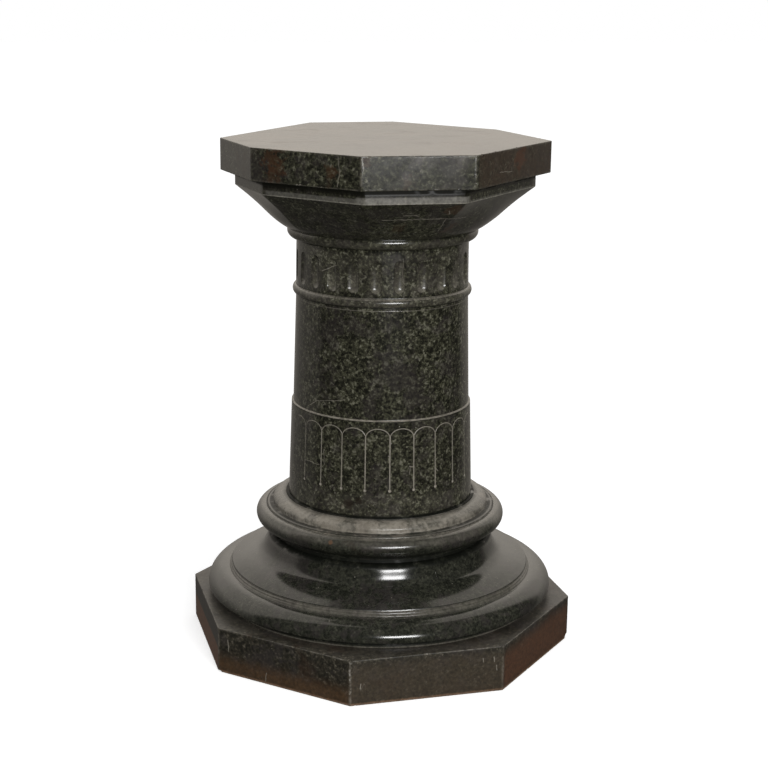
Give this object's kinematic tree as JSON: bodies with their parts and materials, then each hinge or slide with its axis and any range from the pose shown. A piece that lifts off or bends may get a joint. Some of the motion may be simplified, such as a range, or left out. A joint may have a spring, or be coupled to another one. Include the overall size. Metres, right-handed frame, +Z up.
{
  "type": "marble pedestal",
  "caption": "Dark green marble pedestal: eight-sided top slab and plinth, flared capital, round fluted shaft with incised lappets, turned base mouldings.",
  "frame": {"origin": "on the ground under the centre of the plinth", "axes": "+Z up along the shaft's axis; +X and +Y out through the middles of two of the plinth's faces"},
  "size_m": [0.514, 0.514, 0.72],
  "materials": {
    "plinth_marble": "worn polish, rust-brown towards the ground",
    "turned_marble": "high polish, dark green with fine mottling",
    "shaft_marble": "polished, dark green with olive and black mottling, pale dust in the carving",
    "slab_marble": "polished, dark green with brown patches and worn edges"
  },
  "bodies": {
    "root": {"plinth": "plinth_marble", "base_moulding": "turned_marble", "torus_ring": "turned_marble", "shaft": "shaft_marble", "capital": "turned_marble", "top_slab": "slab_marble"}
  },
  "joints": []
}
